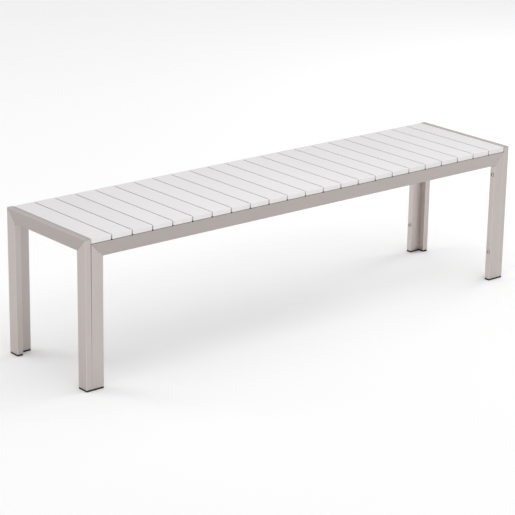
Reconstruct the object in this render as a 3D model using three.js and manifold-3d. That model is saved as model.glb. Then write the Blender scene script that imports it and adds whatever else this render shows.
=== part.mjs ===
// A garden bench: two end frames and two side frames of aluminium tube, bolted together at the corners,
// with a seat of synthetic-wood slats laid from front to back.
//
// Millimetres. +X runs along the bench, +Y to its back and +Z up. The origin is on the floor, in the
// middle of the footprint.

import * as THREE from "three";
import { RoundedBoxGeometry } from "three/addons/geometries/RoundedBoxGeometry.js";
import { mergeVertices } from "three/addons/utils/BufferGeometryUtils.js";
import Module from "manifold-3d";

const wasm = await Module();
wasm.setup();

// ---- Driving dimensions ----

const LENGTH = 1600;
const DEPTH = 375;
const HEIGHT = 430;

const TUBE_WIDE = 38;
const TUBE_THIN = 19;
const TUBE_WALL = 1.5;
const TUBE_RADIUS = 1.2;
const FIT_GAP = 0.3; // between pieces that meet: mitres, seams and seats

const SLAT_COUNT = 23;
const SLAT_SPACING = 3; // the open gap between two slats
const SLAT_THICK = 15.1;
const SLAT_INSET = 0.9; // from the frame's front and back faces
const SLAT_RADIUS = 1;
const SEAT_LIFT = 0.3; // the slats' height above the side rails

const CARRIER_SIZE = 20;
const CARRIER_THICK = 2;
const SCREW_HOLE_RADIUS = 2.4;

const FOOT_FLANGE = 5;
const FOOT_INSET = 0.2;
const FOOT_EDGE = 0.6;
const PLUG_HEIGHT = 18;
const PLUG_CORE_INSET = 3;
const FIN_COUNT = 3;
const FIN_THICK = 1.4;

const BOLT_HEIGHTS = [93, 345];
const BOLT_RADIUS = 3;
const BOLT_HEAD_RADIUS = 5;
const BOLT_FLANGE_RADIUS = 6.8;
const BOLT_HEAD_HEIGHT = 3.3;
const BOLT_SOCKET_FLATS = 4;
const BOLT_SOCKET_DEPTH = 2;
const BOLT_IN_INSERT = 11; // how far the bolt's end stands inside the end leg
const INSERT_RADIUS = 5.2;
const INSERT_LENGTH = 9;

// ---- Worked out from them ----

const RAIL_TOP = HEIGHT - SLAT_THICK - SEAT_LIFT;
const LEG_BOTTOM = FOOT_FLANGE + FIT_GAP;
const INNER_LENGTH = LENGTH - 2 * TUBE_THIN; // between the two end frames
const SIDE_LENGTH = INNER_LENGTH - 2 * FIT_GAP;
const SLAT_PITCH = INNER_LENGTH / SLAT_COUNT;
const CLEAR_RADIUS = BOLT_RADIUS + FIT_GAP;
const BOLT_HEAD_X = SIDE_LENGTH / 2 - TUBE_WIDE - FIT_GAP;

const CORNER_STEPS = 3;
const HOLE_SIDES = 12;
const SCREW_HOLE_SIDES = 8;
const BOLT_SIDES = 16;

// ---- Materials ----

const looks = {
  leg: { color: 0xc3bab7, roughness: 0.42, metalness: 0.85 },
  rail: { color: 0xb3aaa6, roughness: 0.42, metalness: 0.85 },
  carrier: { color: 0xa9a9a8, roughness: 0.5, metalness: 0.9 },
  slat: { color: 0xe9e8e8, roughness: 0.6, metalness: 0 },
  foot: { color: 0x2a292a, roughness: 0.65, metalness: 0 },
  bolt: { color: 0xb9b8b6, roughness: 0.35, metalness: 1 },
};

function piece(name, geometry, look) {
  const mesh = new THREE.Mesh(geometry, new THREE.MeshStandardMaterial(looks[look]));
  mesh.name = name;
  return mesh;
}

// ---- Joining and cutting ----

function toSolid(geometry) {
  const bare = geometry.clone();
  bare.deleteAttribute("normal");
  bare.deleteAttribute("uv");
  const merged = mergeVertices(bare, 1e-4);
  return new wasm.Manifold(
    new wasm.Mesh({
      numProp: 3,
      vertProperties: merged.getAttribute("position").array,
      triVerts: new Uint32Array(merged.index.array),
    }),
  );
}

function toGeometry(solid) {
  const mesh = solid.getMesh();
  const geometry = new THREE.BufferGeometry();
  geometry.setAttribute("position", new THREE.BufferAttribute(mesh.vertProperties, 3));
  geometry.setIndex(new THREE.BufferAttribute(mesh.triVerts, 1));
  geometry.computeVertexNormals();
  return geometry;
}

// Adds the geometries in `added` to the base, then takes away those in `removed`.
function carve(base, added, removed) {
  let solid = toSolid(base);
  for (const geometry of added) {
    solid = solid.add(toSolid(geometry));
  }
  for (const geometry of removed) {
    solid = solid.subtract(toSolid(geometry));
  }
  return toGeometry(solid);
}

// ---- Outlines ----

// A sharp rectangle, centred on the origin.
function rectangle(width, height) {
  const outline = new THREE.Path();
  outline.moveTo(width / 2, height / 2);
  outline.lineTo(-width / 2, height / 2);
  outline.lineTo(-width / 2, -height / 2);
  outline.lineTo(width / 2, -height / 2);
  outline.closePath();
  return outline;
}

// A rectangle with rounded corners, centred on the origin.
function roundedRectangle(width, height, radius) {
  const outline = new THREE.Shape();
  const x = width / 2 - radius;
  const y = height / 2 - radius;
  outline.absarc(x, y, radius, 0, Math.PI / 2);
  outline.absarc(-x, y, radius, Math.PI / 2, Math.PI);
  outline.absarc(-x, -y, radius, Math.PI, Math.PI * 1.5);
  outline.absarc(x, -y, radius, Math.PI * 1.5, Math.PI * 2);
  outline.closePath();
  return outline;
}

function extrude(outline, depth) {
  return new THREE.ExtrudeGeometry(outline, { depth, bevelEnabled: false, curveSegments: CORNER_STEPS });
}

// ---- Tubes ----

// A tube along +Z. Its section runs from x = 0, the frame's outer side, to x = TUBE_WIDE, with y across
// the tube's thin side. A mitred end is cut at 45 degrees, so that the outer side is the longest.
function tube(length, startMitred, endMitred) {
  const section = roundedRectangle(TUBE_WIDE, TUBE_THIN, TUBE_RADIUS);
  section.holes.push(rectangle(TUBE_WIDE - 2 * TUBE_WALL, TUBE_THIN - 2 * TUBE_WALL));
  const geometry = extrude(section, length);
  geometry.translate(TUBE_WIDE / 2, 0, 0);
  const position = geometry.getAttribute("position");
  for (let i = 0; i < position.count; i += 1) {
    const x = position.getX(i);
    const atEnd = position.getZ(i) > length / 2;
    if (atEnd && endMitred) {
      position.setZ(i, length - x);
    }
    if (!atEnd && startMitred) {
      position.setZ(i, x);
    }
  }
  geometry.computeVertexNormals();
  return geometry;
}

function cylinderAlong(axis, radius, length, sides) {
  const geometry = new THREE.CylinderGeometry(radius, radius, length, sides);
  if (axis === "x") {
    geometry.rotateZ(Math.PI / 2);
  }
  if (axis === "z") {
    geometry.rotateX(Math.PI / 2);
  }
  return geometry;
}

// A side frame's leg: each bolt passes through both narrow sides.
function sideLeg(length) {
  const holes = BOLT_HEIGHTS.map((height) =>
    cylinderAlong("x", CLEAR_RADIUS, TUBE_WIDE * 2, HOLE_SIDES).translate(
      TUBE_WIDE / 2,
      0,
      height - LEG_BOTTOM,
    ),
  );
  return carve(tube(length, false, true), [], holes);
}

// An end frame's leg: each bolt enters through the inner wall, at y = inward * TUBE_THIN / 2, into a
// threaded insert that is set in that wall.
function endLeg(length, inward) {
  const inserts = [];
  const holes = [];
  const wallY = (inward * TUBE_THIN) / 2;
  for (const height of BOLT_HEIGHTS) {
    const x = TUBE_THIN / 2;
    const z = height - LEG_BOTTOM;
    const insertY = wallY - inward * (TUBE_WALL / 2 + INSERT_LENGTH / 2);
    inserts.push(cylinderAlong("y", INSERT_RADIUS, INSERT_LENGTH, HOLE_SIDES).translate(x, insertY, z));
    const holeY = wallY - inward * (INSERT_LENGTH / 2);
    holes.push(cylinderAlong("y", CLEAR_RADIUS, INSERT_LENGTH * 2, HOLE_SIDES).translate(x, holeY, z));
  }
  return carve(tube(length, false, true), inserts, holes);
}

// ---- Frames ----

// An upside-down U of three tubes in the XZ plane. x runs from -span / 2 to span / 2.
function uFrame({ span, top, names, makeLeg }) {
  const frame = new THREE.Group();
  const legLength = top - LEG_BOTTOM - FIT_GAP;
  [-1, 1].forEach((side, index) => {
    const leg = piece(names.legs[index], makeLeg(legLength, side), "leg");
    leg.position.set((side * span) / 2, 0, LEG_BOTTOM);
    leg.rotation.z = side < 0 ? 0 : Math.PI;
    frame.add(leg);
  });
  const rail = piece(names.rail, tube(span, true, true), "rail");
  rail.position.set(-span / 2, 0, top);
  rail.rotation.y = Math.PI / 2;
  frame.add(rail);
  return frame;
}

function endFrame(side, names) {
  const frame = uFrame({ span: DEPTH, top: HEIGHT, names, makeLeg: endLeg });
  frame.position.x = side * (LENGTH / 2 - TUBE_THIN / 2);
  frame.rotation.z = (-side * Math.PI) / 2;
  return frame;
}

function sideFrame(side, names) {
  const frame = uFrame({ span: SIDE_LENGTH, top: RAIL_TOP, names, makeLeg: sideLeg });
  frame.position.y = side * (DEPTH / 2 - TUBE_THIN / 2);
  frame.rotation.z = side < 0 ? 0 : Math.PI;
  return frame;
}

// ---- Feet ----

// A plug in the end of a leg: a flange on the floor, with a finned core that stands in the tube.
function footGeometry() {
  const flange = new THREE.ExtrudeGeometry(
    roundedRectangle(
      TUBE_WIDE - 2 * (FOOT_INSET + FOOT_EDGE),
      TUBE_THIN - 2 * (FOOT_INSET + FOOT_EDGE),
      TUBE_RADIUS - FOOT_EDGE,
    ),
    {
      depth: FOOT_FLANGE - 2 * FOOT_EDGE,
      bevelThickness: FOOT_EDGE,
      bevelSize: FOOT_EDGE,
      bevelSegments: 1,
      curveSegments: CORNER_STEPS,
    },
  ).translate(0, 0, FOOT_EDGE);
  const inWide = TUBE_WIDE - 2 * (TUBE_WALL + FIT_GAP);
  const inThin = TUBE_THIN - 2 * (TUBE_WALL + FIT_GAP);
  const coreBottom = FOOT_FLANGE - 1;
  const core = new THREE.BoxGeometry(
    inWide - 2 * PLUG_CORE_INSET,
    inThin - 2 * PLUG_CORE_INSET,
    PLUG_HEIGHT,
  ).translate(0, 0, coreBottom + PLUG_HEIGHT / 2);
  const fins = [];
  for (let i = 1; i <= FIN_COUNT; i += 1) {
    const z = coreBottom + (PLUG_HEIGHT * i) / (FIN_COUNT + 0.5);
    fins.push(new THREE.BoxGeometry(inWide, inThin, FIN_THICK).translate(0, 0, z));
  }
  return carve(flange, [core, ...fins], []);
}

function feet() {
  const group = new THREE.Group();
  const geometry = footGeometry();
  for (const [xSide, xName] of [[-1, "left"], [1, "right"]]) {
    for (const [ySide, yName] of [[-1, "front"], [1, "back"]]) {
      const end = piece(`foot_${yName}_${xName}_end`, geometry, "foot");
      end.position.set(
        xSide * (LENGTH / 2 - TUBE_THIN / 2),
        ySide * (DEPTH / 2 - TUBE_WIDE / 2),
        0,
      );
      end.rotation.z = Math.PI / 2;
      const side = piece(`foot_${yName}_${xName}_side`, geometry, "foot");
      side.position.set(
        xSide * (SIDE_LENGTH / 2 - TUBE_WIDE / 2),
        ySide * (DEPTH / 2 - TUBE_THIN / 2),
        0,
      );
      group.add(end, side);
    }
  }
  return group;
}

// ---- Bolts ----

// A flanged button-head bolt along Z: its head stands above z = 0, and its shank points down.
function boltGeometry() {
  const length = TUBE_WIDE + 2 * FIT_GAP + BOLT_IN_INSERT;
  const tipChamfer = 0.8;
  const flangeEdge = 0.9;
  const profile = [
    new THREE.Vector2(0, -length),
    new THREE.Vector2(BOLT_RADIUS - tipChamfer, -length),
    new THREE.Vector2(BOLT_RADIUS, tipChamfer - length),
    new THREE.Vector2(BOLT_RADIUS, 0),
    new THREE.Vector2(BOLT_FLANGE_RADIUS, 0),
    new THREE.Vector2(BOLT_FLANGE_RADIUS, flangeEdge),
    new THREE.Vector2(BOLT_HEAD_RADIUS, flangeEdge * 1.4),
    new THREE.Vector2(BOLT_HEAD_RADIUS * 0.8, BOLT_HEAD_HEIGHT * 0.85),
    new THREE.Vector2(BOLT_HEAD_RADIUS * 0.6, BOLT_HEAD_HEIGHT),
    new THREE.Vector2(0, BOLT_HEAD_HEIGHT),
  ];
  const body = new THREE.LatheGeometry(profile, BOLT_SIDES);
  const socketRadius = BOLT_SOCKET_FLATS / Math.sqrt(3);
  const socket = new THREE.CylinderGeometry(socketRadius, socketRadius, BOLT_SOCKET_DEPTH * 2, 6);
  socket.translate(0, BOLT_HEAD_HEIGHT, 0);
  return carve(body, [], [socket]).rotateX(Math.PI / 2);
}

function bolts() {
  const group = new THREE.Group();
  const geometry = boltGeometry();
  for (const [xSide, xName] of [[-1, "left"], [1, "right"]]) {
    for (const [ySide, yName] of [[-1, "front"], [1, "back"]]) {
      BOLT_HEIGHTS.forEach((height, index) => {
        const bolt = piece(`bolt_${yName}_${xName}_${index === 0 ? "low" : "high"}`, geometry, "bolt");
        bolt.position.set(xSide * BOLT_HEAD_X, ySide * (DEPTH / 2 - TUBE_THIN / 2), height);
        bolt.rotation.y = (-xSide * Math.PI) / 2;
        group.add(bolt);
      });
    }
  }
  return group;
}

// ---- Seat ----

function slatX(index) {
  return (index - (SLAT_COUNT - 1) / 2) * SLAT_PITCH;
}

function slats() {
  const group = new THREE.Group();
  const geometry = new RoundedBoxGeometry(
    SLAT_PITCH - SLAT_SPACING,
    DEPTH - 2 * SLAT_INSET,
    SLAT_THICK,
    1,
    SLAT_RADIUS,
  );
  for (let i = 0; i < SLAT_COUNT; i += 1) {
    const slat = piece(`slat_${String(i + 1).padStart(2, "0")}`, geometry, "slat");
    slat.position.set(slatX(i), 0, HEIGHT - SLAT_THICK / 2);
    group.add(slat);
  }
  return group;
}

// An angle under the slats, on a side rail's inner face: one leg lies flat below the slats, with a screw
// hole for each, and the other hangs down along the rail. The section is in the YZ plane, with y = 0 on
// the rail and y growing inwards.
function carrierGeometry() {
  const length = SIDE_LENGTH - 2 * FIT_GAP;
  const section = new THREE.Shape();
  section.moveTo(0, 0);
  section.lineTo(0, -CARRIER_SIZE);
  section.lineTo(CARRIER_THICK, -CARRIER_SIZE);
  section.lineTo(CARRIER_THICK, -CARRIER_THICK);
  section.lineTo(CARRIER_SIZE, -CARRIER_THICK);
  section.lineTo(CARRIER_SIZE, 0);
  section.closePath();
  const bar = extrude(section, length);
  bar.rotateX(Math.PI / 2);
  bar.rotateZ(Math.PI / 2);
  bar.translate(-length / 2, 0, 0);
  const holes = [];
  const holeY = (CARRIER_THICK + CARRIER_SIZE) / 2;
  for (let i = 0; i < SLAT_COUNT; i += 1) {
    const hole = cylinderAlong("z", SCREW_HOLE_RADIUS, CARRIER_THICK * 4, SCREW_HOLE_SIDES);
    holes.push(hole.translate(slatX(i), holeY, 0));
  }
  return carve(bar, [], holes);
}

function carriers() {
  const group = new THREE.Group();
  const geometry = carrierGeometry();
  for (const [side, name] of [[-1, "front"], [1, "back"]]) {
    const carrier = piece(`slat_carrier_${name}`, geometry, "carrier");
    const y = side * (DEPTH / 2 - TUBE_THIN - FIT_GAP);
    carrier.position.set(0, y, HEIGHT - SLAT_THICK - FIT_GAP);
    carrier.rotation.z = side < 0 ? 0 : Math.PI;
    group.add(carrier);
  }
  return group;
}

// ---- The bench ----

const group = new THREE.Group();
group.add(
  endFrame(-1, { legs: ["end_leg_left_front", "end_leg_left_back"], rail: "end_rail_left" }),
  endFrame(1, { legs: ["end_leg_right_back", "end_leg_right_front"], rail: "end_rail_right" }),
  sideFrame(-1, { legs: ["side_leg_front_left", "side_leg_front_right"], rail: "side_rail_front" }),
  sideFrame(1, { legs: ["side_leg_back_right", "side_leg_back_left"], rail: "side_rail_back" }),
  feet(),
  bolts(),
  slats(),
  carriers(),
);

export default group;
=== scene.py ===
"""A garden bench of brushed aluminium tube and white synthetic-wood slats, built on its CAD model."""

import math

import bmesh
import bpy
from mathutils import Matrix, Vector


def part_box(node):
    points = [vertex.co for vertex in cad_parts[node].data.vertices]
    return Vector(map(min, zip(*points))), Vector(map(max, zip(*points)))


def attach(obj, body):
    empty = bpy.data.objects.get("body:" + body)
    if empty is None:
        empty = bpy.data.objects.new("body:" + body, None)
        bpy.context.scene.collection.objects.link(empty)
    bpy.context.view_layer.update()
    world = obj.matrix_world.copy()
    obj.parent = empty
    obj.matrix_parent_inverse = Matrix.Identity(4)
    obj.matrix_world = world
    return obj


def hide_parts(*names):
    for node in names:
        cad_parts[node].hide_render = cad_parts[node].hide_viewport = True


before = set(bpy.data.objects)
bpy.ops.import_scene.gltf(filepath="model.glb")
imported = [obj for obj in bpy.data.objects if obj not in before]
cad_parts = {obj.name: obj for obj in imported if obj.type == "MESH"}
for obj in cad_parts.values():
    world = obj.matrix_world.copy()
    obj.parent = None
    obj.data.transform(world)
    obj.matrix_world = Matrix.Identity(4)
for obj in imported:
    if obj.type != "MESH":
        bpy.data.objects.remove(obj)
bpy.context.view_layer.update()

MM = 0.001
X = Vector((1, 0, 0))
Y = Vector((0, 1, 0))
Z = Vector((0, 0, 1))

ENDS = {"left": -1, "right": 1}
SIDES = {"front": -1, "back": 1}
HEIGHTS = ("low", "high")

# ---- Sizes that the CAD boxes don't give, in metres ----

TUBE_WALL = 1.5 * MM
TUBE_RADIUS = 1.2 * MM
TUBE_HOLLOW_RADIUS = 0.5 * MM
TUBE_CHAMFER = 0.25 * MM
CORNER_STEPS = 6
LEAST_RADIUS = 0.05 * MM  # the least that an inset leaves of a rounded corner
SHARP_ANGLE = math.radians(35)  # edges that turn by more are shaded sharp

SLAT_RADIUS = 0.5 * MM
SLAT_LOW_RADIUS = 1.6 * MM  # the slats' two lower edges
SLAT_END_RADIUS = 1.8 * MM
SLAT_STEPS = 4
SLAT_LIFT = 0.3 * MM  # how much the slats' undersides are raised from the CAD model's
LIFT_FALLS = (0.30, 0.50)  # the lift falls to nothing from here to here along X
LIFT_SHARES = (0.85, 1.15)  # of the lift, for the darkest slat and the palest
PAINTED_SHADE_START = 4 * MM  # from a slat's ends: painted shade between the slats starts here
PAINTED_SHADE_FULL = 14 * MM  # and is darkest from here

FOOT_INSET = 0.2 * MM
FOOT_RADIUS = 2 * MM
FOOT_EDGE = 0.9 * MM
FOOT_TOP_EDGE = 0.3 * MM
FOOT_EDGE_STEPS = 4
FOOT_FLANGE = 5 * MM
FOOT_CORE_INSET = 4.8 * MM
FOOT_FIN_INSET = 1.8 * MM
FOOT_FIN_THICK = 1.4 * MM
FOOT_FIN_PITCH = 5.2 * MM

BOLT_RADIUS = 3 * MM
BOLT_TIP_CHAMFER = 0.8 * MM
BOLT_HOLE_RADIUS = 3.3 * MM
BOLT_HOLE_REACH = 5 * MM  # how far a hole's cutter goes past the wall that it cuts
BOLT_HEAD_HEIGHT = 3.3 * MM
BOLT_FLANGE_THICK = 0.95 * MM
BOLT_FLANGE_EDGE = 0.2 * MM
BOLT_EDGE_BREAK = 0.15 * MM
BOLT_DOME_LOW = 1.3 * MM
BOLT_DOME_SHARE = 0.72  # of the flange's radius
BOLT_DOME_ARC = math.radians(75)
BOLT_DOME_FLATNESS = 0.78  # how fast the dome draws in, next to a round one
BOLT_DOME_STEPS = 7
BOLT_SOCKET = 2 * MM  # from its axis to a flat
BOLT_SOCKET_DEPTH = 2 * MM
BOLT_SOCKET_TIP = 0.5 * MM  # the drill's cone at the bottom of the socket
BOLT_SOCKET_TIP_RADIUS = 0.3 * MM
BOLT_SIDES = 48

CARRIER_THICK = 2 * MM
CARRIER_EDGE_RADIUS = 0.4 * MM
CARRIER_ROOT_RADIUS = 1.2 * MM
CARRIER_STEPS = 3
SCREW_RADIUS = 2 * MM
SCREW_TIP_RADIUS = 0.3 * MM
SCREW_TIP_LENGTH = 3 * MM
SCREW_HOLE_RADIUS = 2.4 * MM
SCREW_HEAD_RADIUS = 4 * MM
SCREW_HEAD_HEIGHT = 2.4 * MM
SCREW_HEAD_PROFILE = ((0.7 * MM, 1.0), (1.4 * MM, 0.93), (2.0 * MM, 0.78))  # height, share of radius
SCREW_CROWN = 0.58  # the radii of the head's flat top and of its recess, as shares of the head's
SCREW_RECESS = 0.5
SCREW_RECESS_LOW = 0.3
SCREW_RECESS_DEPTH = 1.2 * MM
SCREW_IN_SLAT = 9 * MM
CROSS_WAIST = 0.42  # the least radius of a cross recess, as a share of the greatest
SMALL_SIDES = 24  # of screws, rivets and drilled holes
RIVET_RADIUS = 3.4 * MM
RIVET_SHANK_RADIUS = 1.6 * MM
RIVET_PROFILE = (  # height above the face, and share of the radius
    (0, 1.0),
    (0.4 * MM, 0.97),
    (0.9 * MM, 0.78),
    (1.2 * MM, 0.5),
    (1.2 * MM, 0.34),
    (0.5 * MM, 0.3),
)
RIVET_EVERY = 4  # slats

# The spacers' black heads stand in for the shade at the foot of each gap: painted shade
SPACER_LENGTH = 5 * MM
SPACER_HEIGHT = 1.8 * MM
SPACER_CLEAR = 0.05 * MM
SPACER_HEAD = 4.8 * MM  # the width of the head that stops a spacer at the slats' ends
SPACER_HEAD_HEIGHT = 2.4 * MM
SPACER_HEAD_THICK = 0.5 * MM
SPACER_HEAD_RADIUS = 0.9 * MM
SPACER_HEAD_EDGE = 0.2 * MM
SPACER_HEAD_STEPS = 3
SPACER_HEAD_ROOT = 0.1 * MM  # how far a head reaches into its post
SPACER_LEAST_HEAD = 0.5  # size of the heads at the right, where the slats aren't raised; the heads' black is painted shade

SEAM = 1.4 * MM  # how far the left end of each side frame stands off at the top
SEAM_CLOSED = 0.25 * MM  # how much nearer both ends are than in the CAD model

WELD_RADIUS = 5 * MM
WELD_ARC_STEPS = 6
WELD_RIPPLE = 1.6 * MM
WELD_RIPPLE_STEPS = 4
WELD_RIPPLE_SHARE = 0.05  # of the radius
WELD_END_SHARE = 0.85  # of the radius, at a weld's two ends
WELD_TAPER = 3  # how fast the radius grows from there
HIDDEN = 0.2 * MM  # how far a weld reaches into the tubes that it joins


# ---- Meshes ----


def placer(origin, u_axis, v_axis, along_axis):
    """Turns (u, v, along) into a point, from an origin and three directions."""
    return lambda u, v, along: origin + u_axis * u + v_axis * v + along_axis * along


def loft(bm, rings, closed=False):
    """Joins rings of (point, edge) with quads.

    Edge is 1 along the middle of a rounded edge and 0 on a flat face.
    """
    layer = bm.verts.layers.float.get("edge") or bm.verts.layers.float.new("edge")
    made = []
    for ring in rings:
        verts = []
        for point, edge in ring:
            vert = bm.verts.new(point)
            vert[layer] = edge
            verts.append(vert)
        made.append(verts)
    if closed:
        made.append(made[0])
    else:
        bm.faces.new(made[0])
        bm.faces.new(made[-1])
    for near, far in zip(made, made[1:]):
        for i in range(len(near)):
            bm.faces.new((near[i - 1], near[i], far[i], far[i - 1]))


def rounded_corners(half_width, half_height, upper_radius, lower_radius, steps):
    """(u, v, edge) points of a rectangle with a quarter round at each corner."""
    points = []
    for corner, (u_side, v_side) in enumerate(((1, 1), (-1, 1), (-1, -1), (1, -1))):
        radius = upper_radius if v_side > 0 else lower_radius
        for step in range(steps + 1):
            share = step / steps
            angle = math.radians(90 * (corner + share))
            u = u_side * (half_width - radius) + radius * math.cos(angle)
            v = v_side * (half_height - radius) + radius * math.sin(angle)
            points.append((u, v, math.sin(math.pi * share)))
    return points


def rounded_rectangle(width, height, radius, steps):
    """The outline of a rounded rectangle: a function that draws it in by an inset."""

    def outline(inset):
        arc = max(radius - inset, LEAST_RADIUS)
        return rounded_corners(width / 2 - inset, height / 2 - inset, arc, arc, steps)

    return outline


def slat_section(width, height):
    """The outline of a slat, drawn in by an inset, with larger radii at its two lower edges."""

    def outline(inset):
        return rounded_corners(
            width / 2 - inset, height / 2 - inset, SLAT_RADIUS, SLAT_LOW_RADIUS, SLAT_STEPS
        )

    return outline


def spacer_section(width, height):
    """(u, v, edge) points of a spacer: a post between two slats, its foot flared under their edges."""
    half = width / 2
    points = [(half, height, 1), (-half, height, 1)]
    for side in (-1, 1):
        foot = []
        for step in range(SLAT_STEPS + 1):
            angle = math.radians(90 * step / SLAT_STEPS)
            out = half + SLAT_LOW_RADIUS * (1 - math.cos(angle))
            up = SLAT_LOW_RADIUS * (1 - math.sin(angle))
            foot.append((side * out, up, 0))
        points += foot if side < 0 else foot[::-1]
    return points


def circle(radius, sides):
    """(u, v, edge) points of a circle."""
    turns = [2 * math.pi * i / sides for i in range(sides)]
    return [(radius * math.cos(t), radius * math.sin(t), 0) for t in turns]


def hexagon(half_flats, sides):
    """(u, v, edge) points of a hexagon, one for each point of a circle of as many sides."""
    points = []
    for i in range(sides):
        turn = 2 * math.pi * i / sides
        off_flat = (turn + math.pi / 6) % (math.pi / 3) - math.pi / 6
        radius = half_flats / math.cos(off_flat)
        points.append((radius * math.cos(turn), radius * math.sin(turn), 0))
    return points


def cross(radius, sides):
    """(u, v, edge) points of a cross recess with four soft arms."""
    points = []
    for i in range(sides):
        turn = 2 * math.pi * i / sides
        arm = abs(math.cos(2 * turn)) ** 3
        reach = radius * (CROSS_WAIST + (1 - CROSS_WAIST) * arm)
        points.append((reach * math.cos(turn), reach * math.sin(turn), 0))
    return points


def stacked(levels, place):
    """Rings from (along, points, edge) levels."""
    return [
        [(place(u, v, along), max(edge, corner)) for u, v, corner in points]
        for along, points, edge in levels
    ]


def rounding(radius, steps):
    """(along, inset, edge) levels of a quarter round that grows from an end to the full outline."""
    levels = []
    for step in range(steps + 1):
        angle = math.radians(90 * step / steps)
        along = radius * (1 - math.cos(angle))
        levels.append((along, radius * (1 - math.sin(angle)), math.sin(2 * angle)))
    return levels


def add_object(name, data):
    """Puts an object with this data in the scene."""
    made = bpy.data.objects.new(name, data)
    bpy.context.scene.collection.objects.link(made)
    return made


def as_mesh(name, bm):
    """Makes bm a mesh, and frees it."""
    mesh = bpy.data.meshes.new(name)
    bm.to_mesh(mesh)
    bm.free()
    return mesh


def add_piece(name, bm, material, nodes=(), tone=0.5):
    """Makes bm a piece that rides on the bench and stands for the CAD nodes.

    Tone, from 0 to 1, varies its colour.
    """
    bmesh.ops.recalc_face_normals(bm, faces=bm.faces)
    mesh = as_mesh(name, bm)
    tones = mesh.attributes.new("tone", "FLOAT", "POINT")
    tones.data.foreach_set("value", [tone] * len(mesh.vertices))
    mesh.shade_smooth()
    mesh.set_sharp_from_angle(angle=SHARP_ANGLE)
    mesh.materials.append(material)
    piece = add_object(name, mesh)
    weighted = piece.modifiers.new("flat faces stay flat", "WEIGHTED_NORMAL")
    weighted.keep_sharp = True
    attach(piece, "root")
    if nodes:
        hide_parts(*nodes)
    return piece


def add_painted_shading(piece, amount):
    """Gives each vertex its share of painted shade by where it is: 1 for the most, below 0 for a painted
    highlight.
    """
    painted_shading = piece.data.attributes.new("painted_shading", "FLOAT", "POINT")
    for vert in piece.data.vertices:
        painted_shading.data[vert.index].value = amount(vert.co)


def drill(piece, holes, radius):
    """Cuts round holes through a piece, each from a start to an end point."""
    bm = bmesh.new()
    for start, end in holes:
        along = (end - start).normalized()
        across = along.cross(Z) if abs(along.z) < 0.5 else along.cross(X)
        place = placer(start, across, along.cross(across), along)
        rim = circle(radius, SMALL_SIDES)
        loft(bm, stacked([(0, rim, 0), ((end - start).length, rim, 0)], place))
    bmesh.ops.recalc_face_normals(bm, faces=bm.faces)
    cutter = add_object("cutter", as_mesh("cutter", bm))
    weighted = piece.modifiers[0]
    weighted.show_viewport = False
    cut = piece.modifiers.new("holes", "BOOLEAN")
    cut.operation = "DIFFERENCE"
    cut.solver = "EXACT"
    cut.object = cutter
    drilled = bpy.data.meshes.new_from_object(
        piece.evaluated_get(bpy.context.evaluated_depsgraph_get())
    )
    piece.modifiers.remove(cut)
    weighted.show_viewport = True
    piece.data = drilled
    bpy.data.objects.remove(cutter)


# ---- Materials ----


def add_node(tree, kind, values=(), **settings):
    """Adds a shader node with its settings and its inputs' values, any of which may be another's socket."""
    node = tree.nodes.new(kind)
    for setting, value in settings.items():
        setattr(node, setting, value)
    for socket, value in dict(values).items():
        if isinstance(value, bpy.types.NodeSocket):
            tree.links.new(value, node.inputs[socket])
        else:
            node.inputs[socket].default_value = value
    return node


def noise(tree, scales, detail=3.0, roughness=0.55):
    """Noise in the bench's own frame, with its own number of waves per metre along X, Y and Z."""
    place = add_node(tree, "ShaderNodeTexCoord").outputs["Object"]
    mapped = add_node(tree, "ShaderNodeMapping", {"Vector": place, "Scale": scales})
    made = add_node(
        tree,
        "ShaderNodeTexNoise",
        {"Vector": mapped.outputs[0], "Scale": 1.0, "Detail": detail, "Roughness": roughness},
    )
    return made.outputs["Fac"]


def attribute(tree, name):
    return add_node(tree, "ShaderNodeAttribute", attribute_name=name).outputs["Fac"]


def remap(tree, value, low, high, start=0.0, end=1.0):
    """value, from start to end, spread over low to high."""
    values = {"Value": value, "From Min": start, "From Max": end, "To Min": low, "To Max": high}
    return add_node(tree, "ShaderNodeMapRange", values).outputs[0]


def total(tree, first, *others):
    """The sum of some sockets."""
    for other in others:
        first = add_node(tree, "ShaderNodeMath", {0: first, 1: other}, operation="ADD").outputs[0]
    return first


def scaled(tree, colour, factor):
    """colour times factor, a socket."""
    values = {"Vector": colour, "Scale": factor}
    return add_node(tree, "ShaderNodeVectorMath", values, operation="SCALE").outputs["Vector"]


def mixed(tree, first, second, share):
    """The first colour, with a share of the second, from 0 to 1. The Mix node counts its sockets."""
    values = {"Factor": share, 6: first, 7: second}
    return add_node(tree, "ShaderNodeMix", values, data_type="RGBA").outputs[2]


def finish(name, metallic, build, specular=0.5):
    """A material. Its build(tree) returns sockets for colour, roughness and height, and the bump's depth."""
    material = bpy.data.materials.new(name)
    material.use_nodes = True
    tree = material.node_tree
    shader = tree.nodes["Principled BSDF"]
    shader.inputs["Metallic"].default_value = metallic
    shader.inputs["Specular IOR Level"].default_value = specular
    colour, roughness, height, depth = build(tree)
    tree.links.new(colour, shader.inputs["Base Color"])
    tree.links.new(roughness, shader.inputs["Roughness"])
    bump = add_node(tree, "ShaderNodeBump", {"Height": height, "Strength": 1.0, "Distance": depth})
    tree.links.new(bump.outputs[0], shader.inputs["Normal"])
    return material


def painted_shading_factor(tree, darkening):
    """How much the mesh's painted shade takes off a factor of 1, or its painted highlight adds where the
    value is below 0.
    """
    return remap(tree, attribute(tree, "painted_shading"), darkening, -darkening, start=-1.0)


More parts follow.
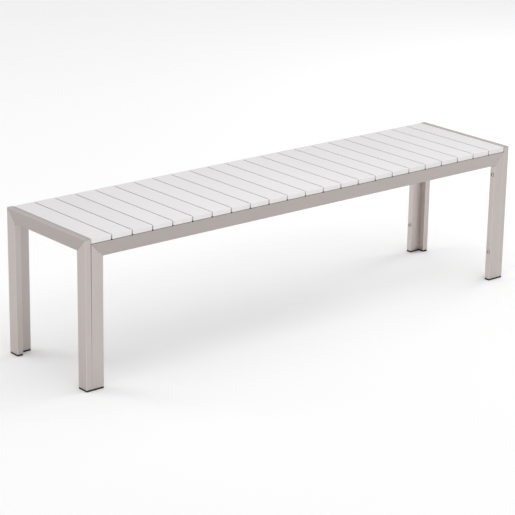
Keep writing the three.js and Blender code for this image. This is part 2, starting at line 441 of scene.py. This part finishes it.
def brushed(name, colour, axis, roughness, edge_highlight):
    """Anodised aluminium, brushed along an axis of the bench.

    It has fine streaks, faint clouds, painted highlights on its rounded edges and, where the mesh says so,
    painted shade and painted highlights.
    """

    def build(tree):
        fine = [BRUSH_ACROSS] * 3
        fine[axis] = BRUSH_ALONG
        coarse = [BRUSH_BAND_ACROSS] * 3
        coarse[axis] = BRUSH_BAND_ALONG
        streaks = noise(tree, fine, detail=4.0, roughness=0.6)
        bands = noise(tree, coarse, detail=2.0)
        clouds = noise(tree, (6.0, 6.0, 6.0), detail=2.0)
        edge = attribute(tree, "edge")
        factor = total(
            tree,
            remap(tree, streaks, 0.95, 1.05),
            remap(tree, bands, -0.03, 0.03),
            remap(tree, clouds, -0.03, 0.03),
            # a painted highlight on the rounded edges
            remap(tree, edge, 0.0, edge_highlight),
            painted_shading_factor(tree, METAL_PAINTED_SHADE),
        )
        rough = total(
            tree,
            remap(tree, streaks, roughness - 0.05, roughness + 0.05),
            remap(tree, clouds, -0.05, 0.05),
            remap(tree, edge, 0.0, -0.08),
        )
        return scaled(tree, colour, factor), rough, streaks, BRUSH_DEPTH

    return finish(name, 1.0, build)


def synthetic_wood(name, colour):
    """White synthetic wood: a soft grain along Y, fine pores and a tone for each slat.

    Its edges have a painted highlight, and it is darker and browner with painted shade where the mesh says
    so.
    """

    def build(tree):
        grain = noise(tree, (420.0, 9.0, 420.0), detail=5.0, roughness=0.62)
        pores = noise(tree, (1600.0, 160.0, 1600.0), detail=2.0)
        clouds = noise(tree, (11.0, 5.0, 11.0), detail=2.0)
        painted_shading = attribute(tree, "painted_shading")
        factor = total(
            tree,
            remap(tree, grain, 0.975, 1.025),
            remap(tree, clouds, -0.012, 0.012),
            remap(tree, attribute(tree, "tone"), -0.016, 0.016),
            # a painted highlight on the rounded edges
            remap(tree, attribute(tree, "edge"), 0.0, 0.03),
            remap(tree, painted_shading, 0.0, -SLAT_PAINTED_SHADE),
        )
        rough = total(tree, remap(tree, grain, 0.50, 0.64), remap(tree, pores, -0.04, 0.04))
        height = total(tree, grain, remap(tree, pores, 0.0, 0.35))
        clean = scaled(tree, colour, factor)
        shaded = scaled(tree, PAINTED_SHADE_COLOUR, factor)
        tint = remap(tree, painted_shading, 0.0, 1.0, end=PAINTED_SHADE_TINTS_FROM)
        return mixed(tree, clean, shaded, tint), rough, height, GRAIN_DEPTH

    return finish(name, 0.0, build)


def moulded_plastic(name, colour):
    """Black moulded plastic: a fine spark texture, paler where its edges are scuffed."""

    def build(tree):
        spark = noise(tree, (2600.0, 2600.0, 2600.0), detail=2.0)
        scuffs = noise(tree, (180.0, 180.0, 90.0), detail=4.0, roughness=0.7)
        worn = remap(tree, attribute(tree, "edge"), 0.0, 0.5)
        factor = total(tree, remap(tree, scuffs, 0.8, 1.3), worn)
        rough = total(tree, remap(tree, spark, 0.52, 0.66), remap(tree, scuffs, -0.06, 0.06))
        return scaled(tree, colour, factor), rough, spark, SPARK_DEPTH

    return finish(name, 0.0, build, specular=0.2)


def turned_steel(name, colour):
    """Stainless steel with faint turning lines, small marks, and painted shade where the mesh says so."""

    def build(tree):
        lines = noise(tree, (5200.0, 900.0, 900.0), detail=2.0)
        marks = noise(tree, (240.0, 240.0, 240.0), detail=4.0, roughness=0.7)
        factor = total(
            tree,
            remap(tree, lines, 0.93, 1.07),
            remap(tree, marks, -0.08, 0.08),
            painted_shading_factor(tree, STEEL_PAINTED_SHADE),
        )
        rough = total(tree, remap(tree, lines, 0.24, 0.34), remap(tree, marks, -0.04, 0.08))
        return scaled(tree, colour, factor), rough, lines, TURNING_DEPTH

    return finish(name, 1.0, build)


def weld_metal(name, colour):
    """A weld's rippled aluminium under the same anodised finish."""

    def build(tree):
        ripples = noise(tree, (900.0, 900.0, 900.0), detail=3.0)
        factor = remap(tree, ripples, 0.9, 1.08)
        rough = remap(tree, ripples, 0.38, 0.55)
        return scaled(tree, colour, factor), rough, ripples, WELD_BUMP_DEPTH

    return finish(name, 1.0, build)


# Brush marks, in waves per metre, and the depths of the finest relief
BRUSH_ACROSS = 1500.0
BRUSH_ALONG = 14.0
BRUSH_BAND_ACROSS = 260.0
BRUSH_BAND_ALONG = 2.5
BRUSH_DEPTH = 0.012 * MM
GRAIN_DEPTH = 0.10 * MM
SPARK_DEPTH = 0.03 * MM
TURNING_DEPTH = 0.008 * MM
WELD_BUMP_DEPTH = 0.05 * MM

# How much full painted shade takes off a material's brightness, and how soon it tints the slats
METAL_PAINTED_SHADE = 0.6
SLAT_PAINTED_SHADE = 0.45
STEEL_PAINTED_SHADE = 0.85
PAINTED_SHADE_TINTS_FROM = 0.06

# The colour that the painted shade between the slats turns to
PAINTED_SHADE_COLOUR = (0.72, 0.67, 0.64)
# The legs, end rails and side rails are one aluminium in three shades, paler on the legs as the light falls
# on them: painted light
LEG_COLOUR = (0.536, 0.488, 0.468)
END_RAIL_COLOUR = (0.436, 0.394, 0.379)
SIDE_RAIL_COLOUR = (0.463, 0.42, 0.402)
CARRIER_COLOUR = (0.50, 0.50, 0.495)
SLAT_COLOUR = (0.687, 0.672, 0.674)
BLACK = (0.008, 0.0075, 0.008)
STEEL_COLOUR = (0.50, 0.49, 0.48)
BOLT_COLOUR = (0.62, 0.56, 0.535)

# The last number is each finish's painted highlight on its rounded edges
LEG_FINISH = brushed("leg_aluminium", LEG_COLOUR, 2, 0.40, 0.22)
END_RAIL_FINISH = brushed("end_rail_aluminium", END_RAIL_COLOUR, 1, 0.40, 0.02)
SIDE_RAIL_FINISH = brushed("side_rail_aluminium", SIDE_RAIL_COLOUR, 0, 0.40, 0.02)
WELD_FINISH = weld_metal("weld_aluminium", SIDE_RAIL_COLOUR)
CARRIER_FINISH = brushed("carrier_aluminium", CARRIER_COLOUR, 0, 0.46, 0.1)
SLAT_FINISH = synthetic_wood("white_synthetic_wood", SLAT_COLOUR)
FOOT_FINISH = moulded_plastic("black_plastic", BLACK)
STEEL_FINISH = turned_steel("stainless_steel", STEEL_COLOUR)
BOLT_FINISH = turned_steel("bolt_steel", BOLT_COLOUR)

# Painted shading for each place: 1 for the most painted shade, and below 0 for a painted highlight
# A painted highlight on the end rails' tops, which face the light
END_RAIL_TOP_PAINTED_HIGHLIGHT = -0.29
# Painted shade on the side rails' tops, under the slats
SIDE_RAIL_TOP_PAINTED_SHADE = 0.25
SIDE_RAIL_SHADE_FADE = 0.14  # less painted shade per metre to the right, so the rails grow paler there
# Painted shade on the back left side leg, which stands in the seat's shade
BACK_LEFT_LEG_PAINTED_SHADE = 0.2
LEFT_FACE_PAINTED_HIGHLIGHT = -0.22  # a painted highlight on the faces of the right-hand legs that look to the left
SLAT_END_PAINTED_SHADE = 0.03  # painted shade between the slats, near their ends
# Painted shade round the foot of each bolt's dome; its socket gets full painted shade
BOLT_RIM_PAINTED_SHADE = 0.4
TOP_DEPTH = 0.1 * MM  # a vertex within this of a rail's top belongs to its top face
LEFT_FACE_DEPTH = 0.5 * MM  # likewise for a leg's left face


# ---- Frames ----


def lean(bm):
    """Sets a side frame's piece against the end frames, but its left end leans off at the top."""
    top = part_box("side_rail_front")[1]
    for vert in bm.verts:
        leftness = (1 - vert.co.x / top.x) / 2
        vert.co.x *= 1 + SEAM_CLOSED / top.x
        vert.co.x += SEAM * leftness * (vert.co.z / top.z) ** 2


def centre_of(node):
    low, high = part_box(node)
    return (low + high) / 2


def tube(name, node, material, along_axis, inward, is_rail, leans):
    """A hollow tube in a CAD node's box, mitred at both ends if it is a rail, and at the top if a leg.

    Inward points from the frame's outer side to its inner side.
    """
    low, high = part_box(node)
    size = high - low
    across = along_axis.cross(inward)
    wide = abs(size.dot(inward))
    thin = abs(size.dot(across))
    length = size.dot(along_axis)
    origin = (low + high) / 2 - along_axis * (length / 2)

    def place(u, v, along):
        from_outer = u + wide / 2
        if along > length / 2:
            along -= from_outer
        elif is_rail:
            along += from_outer
        return origin + inward * u + across * v + along_axis * along

    outside = rounded_rectangle(wide, thin, TUBE_RADIUS, CORNER_STEPS)
    hollow = rounded_rectangle(
        wide - 2 * TUBE_WALL, thin - 2 * TUBE_WALL, TUBE_HOLLOW_RADIUS, CORNER_STEPS
    )
    levels = [
        (0, outside(TUBE_CHAMFER), 0),
        (TUBE_CHAMFER, outside(0), 0),
        (length - TUBE_CHAMFER, outside(0), 0),
        (length, outside(TUBE_CHAMFER), 0),
        (length, hollow(0), 0),
        (0, hollow(0), 0),
    ]
    bm = bmesh.new()
    loft(bm, stacked(levels, place), closed=True)
    if leans:
        lean(bm)
    return add_piece(name, bm, material, [node])


def make_rail(node, material, along_axis, leans, top_shading, shading_fade):
    """A rail, with painted shade on its top, a painted highlight there where top_shading is below 0, and
    less painted shade to the right.
    """
    rail = tube(f"tube_{node}", node, material, along_axis, -Z, is_rail=True, leans=leans)
    on_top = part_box(node)[1].z - TOP_DEPTH
    add_painted_shading(rail, lambda at: (top_shading if at.z > on_top else 0.0) - shading_fade * at.x)


def make_leg(node, inward, leans, side_name, end_name, hole_start, hole_end):
    """A leg, with holes from start to end along X for its corner's two bolts."""
    leg = tube(f"tube_{node}", node, LEG_FINISH, Z, inward, is_rail=False, leans=leans)
    holes = []
    for height_name in HEIGHTS:
        at = centre_of(f"bolt_{side_name}_{end_name}_{height_name}")
        holes.append((Vector((hole_start, at.y, at.z)), Vector((hole_end, at.y, at.z))))
    drill(leg, holes, BOLT_HOLE_RADIUS)
    # Painted shade: the back left side leg is darker, as it stands in the seat's shade
    if node == "side_leg_back_left":
        add_painted_shading(leg, lambda at: BACK_LEFT_LEG_PAINTED_SHADE)
    # Painted light: the right-hand legs' faces that look to the left are paler
    if end_name == "right":
        left_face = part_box(node)[0].x + LEFT_FACE_DEPTH
        add_painted_shading(leg, lambda at: LEFT_FACE_PAINTED_HIGHLIGHT if at.x < left_face else 0.0)


def make_frames():
    """The two end frames and the two side frames, each of three mitred tubes, with the bolts' holes."""
    for end_name, end in ENDS.items():
        make_rail(f"end_rail_{end_name}", END_RAIL_FINISH, Y, False, END_RAIL_TOP_PAINTED_HIGHLIGHT, 0.0)
        for side_name, side in SIDES.items():
            node = f"end_leg_{end_name}_{side_name}"
            inner_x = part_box(node)[0 if end > 0 else 1].x
            reach = end * BOLT_HOLE_REACH
            make_leg(node, Y * -side, False, side_name, end_name, inner_x - reach, inner_x + reach)
    for side_name in SIDES:
        node = f"side_rail_{side_name}"
        make_rail(node, SIDE_RAIL_FINISH, X, True, SIDE_RAIL_TOP_PAINTED_SHADE, SIDE_RAIL_SHADE_FADE)
        for end_name, end in ENDS.items():
            node = f"side_leg_{side_name}_{end_name}"
            low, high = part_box(node)
            start = low.x - BOLT_HOLE_REACH
            make_leg(node, X * -end, True, side_name, end_name, start, high.x + BOLT_HOLE_REACH)


def weld(bm, corner, away, across, width):
    """A rippled concave fillet in the inner corner between a leg and the underside of a rail."""
    count = int(width / (WELD_RIPPLE / WELD_RIPPLE_STEPS))
    rings = []
    for i in range(count + 1):
        along = width * (i / count - 0.5)
        taper = min(1.0, WELD_END_SHARE + WELD_TAPER * min(i, count - i) / count)
        ripple = 1 + WELD_RIPPLE_SHARE * math.cos(2 * math.pi * along / WELD_RIPPLE)
        radius = WELD_RADIUS * taper * ripple
        base = corner + across * along
        ring = [(base - away * HIDDEN + Z * HIDDEN, 0)]
        ring.append((base + away * radius + Z * HIDDEN, 0))
        for step in range(WELD_ARC_STEPS + 1):
            angle = math.radians(90 * step / WELD_ARC_STEPS)
            out = radius * (1 - math.sin(angle))
            down = radius * (1 - math.cos(angle))
            ring.append((base + away * out - Z * down, 0))
        ring.append((base - away * HIDDEN - Z * radius, 0))
        rings.append(ring)
    loft(bm, rings)


def make_welds():
    """The fillets inside the mitred corners, one piece for each frame."""
    for end_name in ENDS:
        bm = bmesh.new()
        rail_low, rail_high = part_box(f"end_rail_{end_name}")
        middle_x = (rail_low.x + rail_high.x) / 2
        for side_name, side in SIDES.items():
            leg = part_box(f"end_leg_{end_name}_{side_name}")
            inner_y = leg[0 if side > 0 else 1].y
            corner = Vector((middle_x, inner_y, rail_low.z))
            weld(bm, corner, Y * -side, X, rail_high.x - rail_low.x - 2 * TUBE_RADIUS)
        add_piece(f"welds_end_{end_name}", bm, WELD_FINISH)
    for side_name in SIDES:
        bm = bmesh.new()
        rail_low, rail_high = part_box(f"side_rail_{side_name}")
        middle_y = (rail_low.y + rail_high.y) / 2
        for end_name, end in ENDS.items():
            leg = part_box(f"side_leg_{side_name}_{end_name}")
            inner_x = leg[0 if end > 0 else 1].x
            corner = Vector((inner_x, middle_y, rail_low.z))
            weld(bm, corner, X * -end, Y, rail_high.y - rail_low.y - 2 * TUBE_RADIUS)
        lean(bm)
        add_piece(f"welds_side_{side_name}", bm, WELD_FINISH)


# ---- Feet ----


def make_foot(node):
    """A plug: a flange on the floor with rounded edges, and a finned core that stands in the tube."""
    low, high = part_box(node)
    size = high - low
    width = max(size.x, size.y) + 2 * FOOT_INSET
    thickness = min(size.x, size.y) + 2 * FOOT_INSET
    outline = rounded_rectangle(width, thickness, FOOT_RADIUS, CORNER_STEPS)
    levels = [
        (along, outline(FOOT_INSET + inset), edge)
        for along, inset, edge in rounding(FOOT_EDGE, FOOT_EDGE_STEPS)
    ]
    levels += [
        (FOOT_FLANGE - FOOT_TOP_EDGE, outline(FOOT_INSET), 0),
        (FOOT_FLANGE, outline(FOOT_INSET + FOOT_TOP_EDGE), 0.5),
        (FOOT_FLANGE, outline(FOOT_CORE_INSET), 0),
    ]
    at = FOOT_FLANGE + FOOT_FIN_PITCH / 2
    while at + FOOT_FIN_THICK < size.z:
        levels += [
            (at, outline(FOOT_CORE_INSET), 0),
            (at, outline(FOOT_FIN_INSET), 0),
            (at + FOOT_FIN_THICK, outline(FOOT_FIN_INSET), 0),
            (at + FOOT_FIN_THICK, outline(FOOT_CORE_INSET), 0),
        ]
        at += FOOT_FIN_PITCH
    levels.append((size.z, outline(FOOT_CORE_INSET), 0))
    centre = (low + high) / 2
    origin = Vector((centre.x, centre.y, low.z))
    along_x = size.x > size.y
    place = placer(origin, X if along_x else Y, Y if along_x else -X, Z)
    bm = bmesh.new()
    loft(bm, stacked(levels, place))
    add_piece(f"plug_{node}", bm, FOOT_FINISH, [node])


def make_feet():
    for side_name in SIDES:
        for end_name in ENDS:
            make_foot(f"foot_{side_name}_{end_name}_end")
            make_foot(f"foot_{side_name}_{end_name}_side")


# ---- Bolts ----


def make_bolt(node, end):
    """A flanged button-head bolt with a hexagon socket, its head towards the middle of the bench."""
    low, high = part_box(node)
    centre = (low + high) / 2
    flange = (high.z - low.z) / 2
    seat = flange * BOLT_DOME_SHARE
    tip = high.x - low.x - BOLT_HEAD_HEIGHT
    head_x = (low.x if end > 0 else high.x) + end * BOLT_HEAD_HEIGHT
    place = placer(Vector((head_x, centre.y, centre.z)), Y, Z, X * -end)

    def disc(radius):
        return circle(radius, BOLT_SIDES)

    levels = [
        (-tip, disc(BOLT_RADIUS - BOLT_TIP_CHAMFER), 0),
        (-tip + BOLT_TIP_CHAMFER, disc(BOLT_RADIUS), 0),
        (0, disc(BOLT_RADIUS), 0),
        (0, disc(flange - BOLT_EDGE_BREAK), 0),
        (BOLT_EDGE_BREAK, disc(flange), 0),
        (BOLT_FLANGE_THICK - BOLT_FLANGE_EDGE, disc(flange), 0),
        (BOLT_FLANGE_THICK, disc(flange - BOLT_FLANGE_EDGE), 0),
        (BOLT_FLANGE_THICK + BOLT_FLANGE_EDGE, disc(seat + BOLT_EDGE_BREAK), 0),
    ]
    crown = BOLT_HEAD_HEIGHT - BOLT_DOME_LOW
    for step in range(BOLT_DOME_STEPS + 1):
        angle = BOLT_DOME_ARC * step / BOLT_DOME_STEPS
        rise = crown * math.sin(angle) / math.sin(BOLT_DOME_ARC)
        radius = seat * math.cos(angle * BOLT_DOME_FLATNESS)
        levels.append((BOLT_DOME_LOW + rise, disc(radius), 0))
    floor = BOLT_HEAD_HEIGHT - BOLT_SOCKET_DEPTH
    levels += [
        (BOLT_HEAD_HEIGHT, hexagon(BOLT_SOCKET + BOLT_EDGE_BREAK, BOLT_SIDES), 0),
        (BOLT_HEAD_HEIGHT - BOLT_EDGE_BREAK, hexagon(BOLT_SOCKET, BOLT_SIDES), 0),
        (floor, hexagon(BOLT_SOCKET, BOLT_SIDES), 0),
        (floor - BOLT_SOCKET_TIP, disc(BOLT_SOCKET_TIP_RADIUS), 0),
    ]
    bm = bmesh.new()
    loft(bm, stacked(levels, place))
    lean(bm)
    socket_rim = (BOLT_SOCKET + BOLT_EDGE_BREAK) / math.cos(math.pi / 6)

    # Painted shade: full in the socket, and a darker ring round the dome's foot
    def bolt_shading(at):
        off_axis = math.hypot(at.y - centre.y, at.z - centre.z)
        if off_axis < socket_rim:
            return 1.0
        return 0.0 if off_axis < seat + BOLT_EDGE_BREAK / 2 else BOLT_RIM_PAINTED_SHADE

    add_painted_shading(add_piece(f"button_{node}", bm, BOLT_FINISH, [node]), bolt_shading)


def make_bolts():
    for side_name in SIDES:
        for end_name, end in ENDS.items():
            for height_name in HEIGHTS:
                make_bolt(f"bolt_{side_name}_{end_name}_{height_name}", end)


# ---- Seat ----

SLAT_NODES = sorted(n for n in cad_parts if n.startswith("slat_") and "carrier" not in n)

# The slats' tones: the fraction of a large multiple of a sine, which looks random and never changes
# TONE_START is picked so that the first slat, at the left end, comes out pale: painted light
TONE_START = 10
TONE_TURN = 12.9898
TONE_SPREAD = 43758.5453
SLAT_SIDE_DEPTH = 0.1 * MM  # a vertex within this of a slat's side belongs to it


def seat_lift(x):
    """How far the slats at x stand off the side rails, from 0 to 1."""
    start, end = LIFT_FALLS
    return 1 - min(1, max(0, (x - start) / (end - start)))


def make_slat(index, node):
    """A slat with rounded edges all round, with painted shade where it faces its neighbours."""
    low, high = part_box(node)
    tone = (math.sin((index + TONE_START) * TONE_TURN) * TONE_SPREAD) % 1.0
    least, most = LIFT_SHARES
    low.z += SLAT_LIFT * seat_lift((low.x + high.x) / 2) * (least + (most - least) * tone)
    size = high - low
    outline = slat_section(size.x, size.z)
    ends = rounding(SLAT_END_RADIUS, SLAT_STEPS) + [(PAINTED_SHADE_START, 0, 0), (PAINTED_SHADE_FULL, 0, 0)]
    profile = ends + [(size.y - along, inset, edge) for along, inset, edge in reversed(ends)]
    levels = [(along, outline(inset), edge) for along, inset, edge in profile]
    centre = (low + high) / 2
    place = placer(Vector((centre.x, low.y, centre.z)), X, Z, Y)
    bm = bmesh.new()
    loft(bm, stacked(levels, place))
    side_x = size.x / 2 - SLAT_SIDE_DEPTH
    shaded_from = (PAINTED_SHADE_START + PAINTED_SHADE_FULL) / 2

    def painted_shading(at):
        if abs(at.x - centre.x) < side_x:
            return 0.0
        from_end = min(at.y - low.y, high.y - at.y)
        return 1.0 if from_end > shaded_from else SLAT_END_PAINTED_SHADE

    add_painted_shading(add_piece(f"seat_{node}", bm, SLAT_FINISH, [node], tone), painted_shading)


def carrier_section(size):
    """(y, z, edge) points of an angle with rounded edges and a root fillet, from its outer top edge."""
    thick = CARRIER_THICK
    corners = (
        # the corner, the way from it to its arc's centre, the radius, and the arc's start and turn
        (0, 0, 1, -1, CARRIER_EDGE_RADIUS, 180, -90),
        (size.y, 0, -1, -1, CARRIER_EDGE_RADIUS, 90, -90),
        (size.y, -thick, -1, 1, CARRIER_EDGE_RADIUS, 0, -90),
        (thick, -thick, 1, -1, CARRIER_ROOT_RADIUS, 90, 90),
        (thick, -size.z, -1, 1, CARRIER_EDGE_RADIUS, 0, -90),
        (0, -size.z, 1, 1, CARRIER_EDGE_RADIUS, -90, -90),
    )
    section = []
    for y, z, y_way, z_way, radius, start, turn in corners:
        for step in range(CARRIER_STEPS + 1):
            share = step / CARRIER_STEPS
            angle = math.radians(start + turn * share)
            section.append(
                (
                    y + radius * (y_way + math.cos(angle)),
                    z + radius * (z_way + math.sin(angle)),
                    math.sin(math.pi * share) if turn < 0 else 0,
                )
            )
    return section


def make_carrier(side_name, side):
    """An angle under the slats, with a hole for each slat's screw. Returns the Y of the holes."""
    node = f"slat_carrier_{side_name}"
    low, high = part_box(node)
    size = high - low
    outer_y = low.y if side < 0 else high.y
    section = carrier_section(size)
    place = placer(Vector((low.x, outer_y, high.z)), Y * -side, Z, X)
    bm = bmesh.new()
    loft(bm, stacked([(0, section, 0), (size.x, section, 0)], place))
    carrier = add_piece(f"angle_{node}", bm, CARRIER_FINISH, [node])
    hole_y = outer_y - side * (CARRIER_THICK + size.y) / 2
    hole_low = high.z - 3 * CARRIER_THICK
    hole_high = high.z + 2 * CARRIER_THICK
    holes = []
    for slat in SLAT_NODES:
        middle = centre_of(slat).x
        holes.append((Vector((middle, hole_y, hole_low)), Vector((middle, hole_y, hole_high))))
    drill(carrier, holes, SCREW_HOLE_RADIUS)
    return hole_y


def screw(bm, at):
    """A pan-head screw with a cross recess: its head below at, its shank up into the slat."""
    place = placer(at, X, -Y, -Z)

    def disc(radius):
        return circle(radius, SMALL_SIDES)

    levels = [
        (-SCREW_IN_SLAT - CARRIER_THICK, disc(SCREW_TIP_RADIUS), 0),
        (-SCREW_IN_SLAT - CARRIER_THICK + SCREW_TIP_LENGTH, disc(SCREW_RADIUS), 0),
        (0, disc(SCREW_RADIUS), 0),
        (0, disc(SCREW_HEAD_RADIUS), 0),
    ]
    levels += [(down, disc(SCREW_HEAD_RADIUS * share), 0) for down, share in SCREW_HEAD_PROFILE]
    recess_floor = SCREW_HEAD_HEIGHT - SCREW_RECESS_DEPTH
    levels += [
        (SCREW_HEAD_HEIGHT, disc(SCREW_HEAD_RADIUS * SCREW_CROWN), 0),
        (SCREW_HEAD_HEIGHT, cross(SCREW_HEAD_RADIUS * SCREW_RECESS, SMALL_SIDES), 0),
        (recess_floor, cross(SCREW_HEAD_RADIUS * SCREW_RECESS_LOW, SMALL_SIDES), 0),
    ]
    loft(bm, stacked(levels, place))


def rivet(bm, at, out):
    """A blind rivet's domed head on a face, with the hollow that its pin leaves."""
    shank = circle(RIVET_SHANK_RADIUS, SMALL_SIDES)
    levels = [(-CARRIER_THICK, shank, 0), (0, shank, 0)]
    levels += [(up, circle(RIVET_RADIUS * share, SMALL_SIDES), 0) for up, share in RIVET_PROFILE]
    loft(bm, stacked(levels, placer(at, X, Z, out)))


def make_fixings(side_name, side, hole_y):
    """The screws up into the slats, and the rivets that hold the angle to its side rail."""
    low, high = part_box(f"slat_carrier_{side_name}")
    screws = bmesh.new()
    for slat in SLAT_NODES:
        screw(screws, Vector((centre_of(slat).x, hole_y, high.z - CARRIER_THICK)))
    add_piece(f"slat_screws_{side_name}", screws, STEEL_FINISH)
    rivets = bmesh.new()
    face_y = (low.y if side < 0 else high.y) - side * CARRIER_THICK
    rivet_z = low.z + (high.z - low.z - CARRIER_THICK) / 2
    for first, second in list(zip(SLAT_NODES, SLAT_NODES[1:]))[1::RIVET_EVERY]:
        middle = (centre_of(first).x + centre_of(second).x) / 2
        rivet(rivets, Vector((middle, face_y, rivet_z)), Y * -side)
    add_piece(f"carrier_rivets_{side_name}", rivets, STEEL_FINISH)


def make_shade_spacers(side_name, side):
    """Black spacers that stand on the side rail, one in the end of each gap, with its head outside; their
    black heads are painted shade at the foot of each gap.
    """
    rail_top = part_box(f"side_rail_{side_name}")[1].z
    bm = bmesh.new()
    for first, second in zip(SLAT_NODES, SLAT_NODES[1:]):
        left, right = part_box(first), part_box(second)
        middle = (left[1].x + right[0].x) / 2
        slat_end = left[0].y if side < 0 else left[1].y
        place = placer(Vector((middle, slat_end, rail_top)), X, Z, Y * -side)
        post = spacer_section(right[0].x - left[1].x - 2 * SPACER_CLEAR, SPACER_HEIGHT)
        loft(bm, stacked([(0, post, 0), (SPACER_LENGTH, post, 0)], place))
        share = SPACER_LEAST_HEAD + (1 - SPACER_LEAST_HEAD) * seat_lift(middle)
        height = SPACER_HEAD_HEIGHT * share
        head = rounded_rectangle(
            SPACER_HEAD * share, height, SPACER_HEAD_RADIUS, SPACER_HEAD_STEPS
        )
        place = placer(Vector((middle, slat_end, rail_top + height / 2)), X, Z, Y * side)
        levels = [
            (-SPACER_HEAD_ROOT, head(0), 0),
            (SPACER_HEAD_THICK - SPACER_HEAD_EDGE, head(0), 0),
            (SPACER_HEAD_THICK, head(SPACER_HEAD_EDGE), 1),
        ]
        loft(bm, stacked(levels, place))
    add_piece(f"slat_spacers_{side_name}", bm, FOOT_FINISH)


def make_seat():
    for index, node in enumerate(SLAT_NODES):
        make_slat(index, node)
    for side_name, side in SIDES.items():
        hole_y = make_carrier(side_name, side)
        make_fixings(side_name, side, hole_y)
        make_shade_spacers(side_name, side)


# ---- Studio ----

CAMERA_PLACE = Vector((-3.6447, -4.2960, 2.0334))
CAMERA_YAW = 39.896  # degrees from +Y towards +X
CAMERA_PITCH = 18.266  # degrees below the horizon
CAMERA_ROLL = 0.959
CAMERA_LENS = 139.56
SENSOR = 36.0

SKY_STRENGTH = 0.86
FLOOR_COLOUR = (0.97, 0.97, 0.97, 1)
FLOOR_HALF = 40
LIGHTS_AIM = Vector((0, 0, 0.3))
SOFTBOXES = (
    # place, width and depth in metres, and watts
    ((-3.0, 3.0, 2.4), 2.2, 2.2, 22),
    ((4.2, 0.3, 2.0), 2.0, 2.0, 42),
    ((-1.0, -4.0, 0.9), 1.6, 1.6, 20),
    ((0, -0.3, 0.95), 2.2, 0.3, 1.7),
)


def make_camera():
    camera = add_object("camera", bpy.data.cameras.new("camera"))
    camera.data.lens = CAMERA_LENS
    camera.data.sensor_width = SENSOR
    turn = Matrix.Rotation(math.radians(-CAMERA_YAW), 4, "Z")
    tilt = Matrix.Rotation(math.radians(90 - CAMERA_PITCH), 4, "X")
    roll = Matrix.Rotation(math.radians(CAMERA_ROLL), 4, "Z")
    camera.matrix_world = Matrix.Translation(CAMERA_PLACE) @ turn @ tilt @ roll
    bpy.context.scene.camera = camera


def make_light(place, width, depth, watts):
    """A softbox, aimed at the middle of the bench."""
    data = bpy.data.lights.new("softbox", "AREA")
    data.shape = "ELLIPSE"
    data.size = width
    data.size_y = depth
    data.energy = watts
    light = add_object("softbox", data)
    light.visible_camera = False
    light.location = place
    light.rotation_euler = (LIGHTS_AIM - Vector(place)).to_track_quat("-Z", "Y").to_euler()


def make_studio():
    """A pale floor under an even white sky, with soft lights round the bench."""
    bm = bmesh.new()
    bmesh.ops.create_grid(bm, x_segments=8, y_segments=8, size=FLOOR_HALF)
    floor = add_object("floor", as_mesh("floor", bm))
    floor_material = bpy.data.materials.new("pale_floor")
    floor_material.use_nodes = True
    shader = floor_material.node_tree.nodes["Principled BSDF"]
    shader.inputs["Base Color"].default_value = FLOOR_COLOUR
    shader.inputs["Roughness"].default_value = 0.9
    shader.inputs["Specular IOR Level"].default_value = 0.1
    floor.data.materials.append(floor_material)

    world = bpy.data.worlds.new("white_sky")
    world.use_nodes = True
    background = world.node_tree.nodes["Background"]
    background.inputs["Color"].default_value = (1, 1, 1, 1)
    background.inputs["Strength"].default_value = SKY_STRENGTH
    bpy.context.scene.world = world
    for softbox in SOFTBOXES:
        make_light(*softbox)
    bpy.context.scene.view_settings.view_transform = "Standard"


make_camera()
make_frames()
make_welds()
make_feet()
make_bolts()
make_seat()
make_studio()
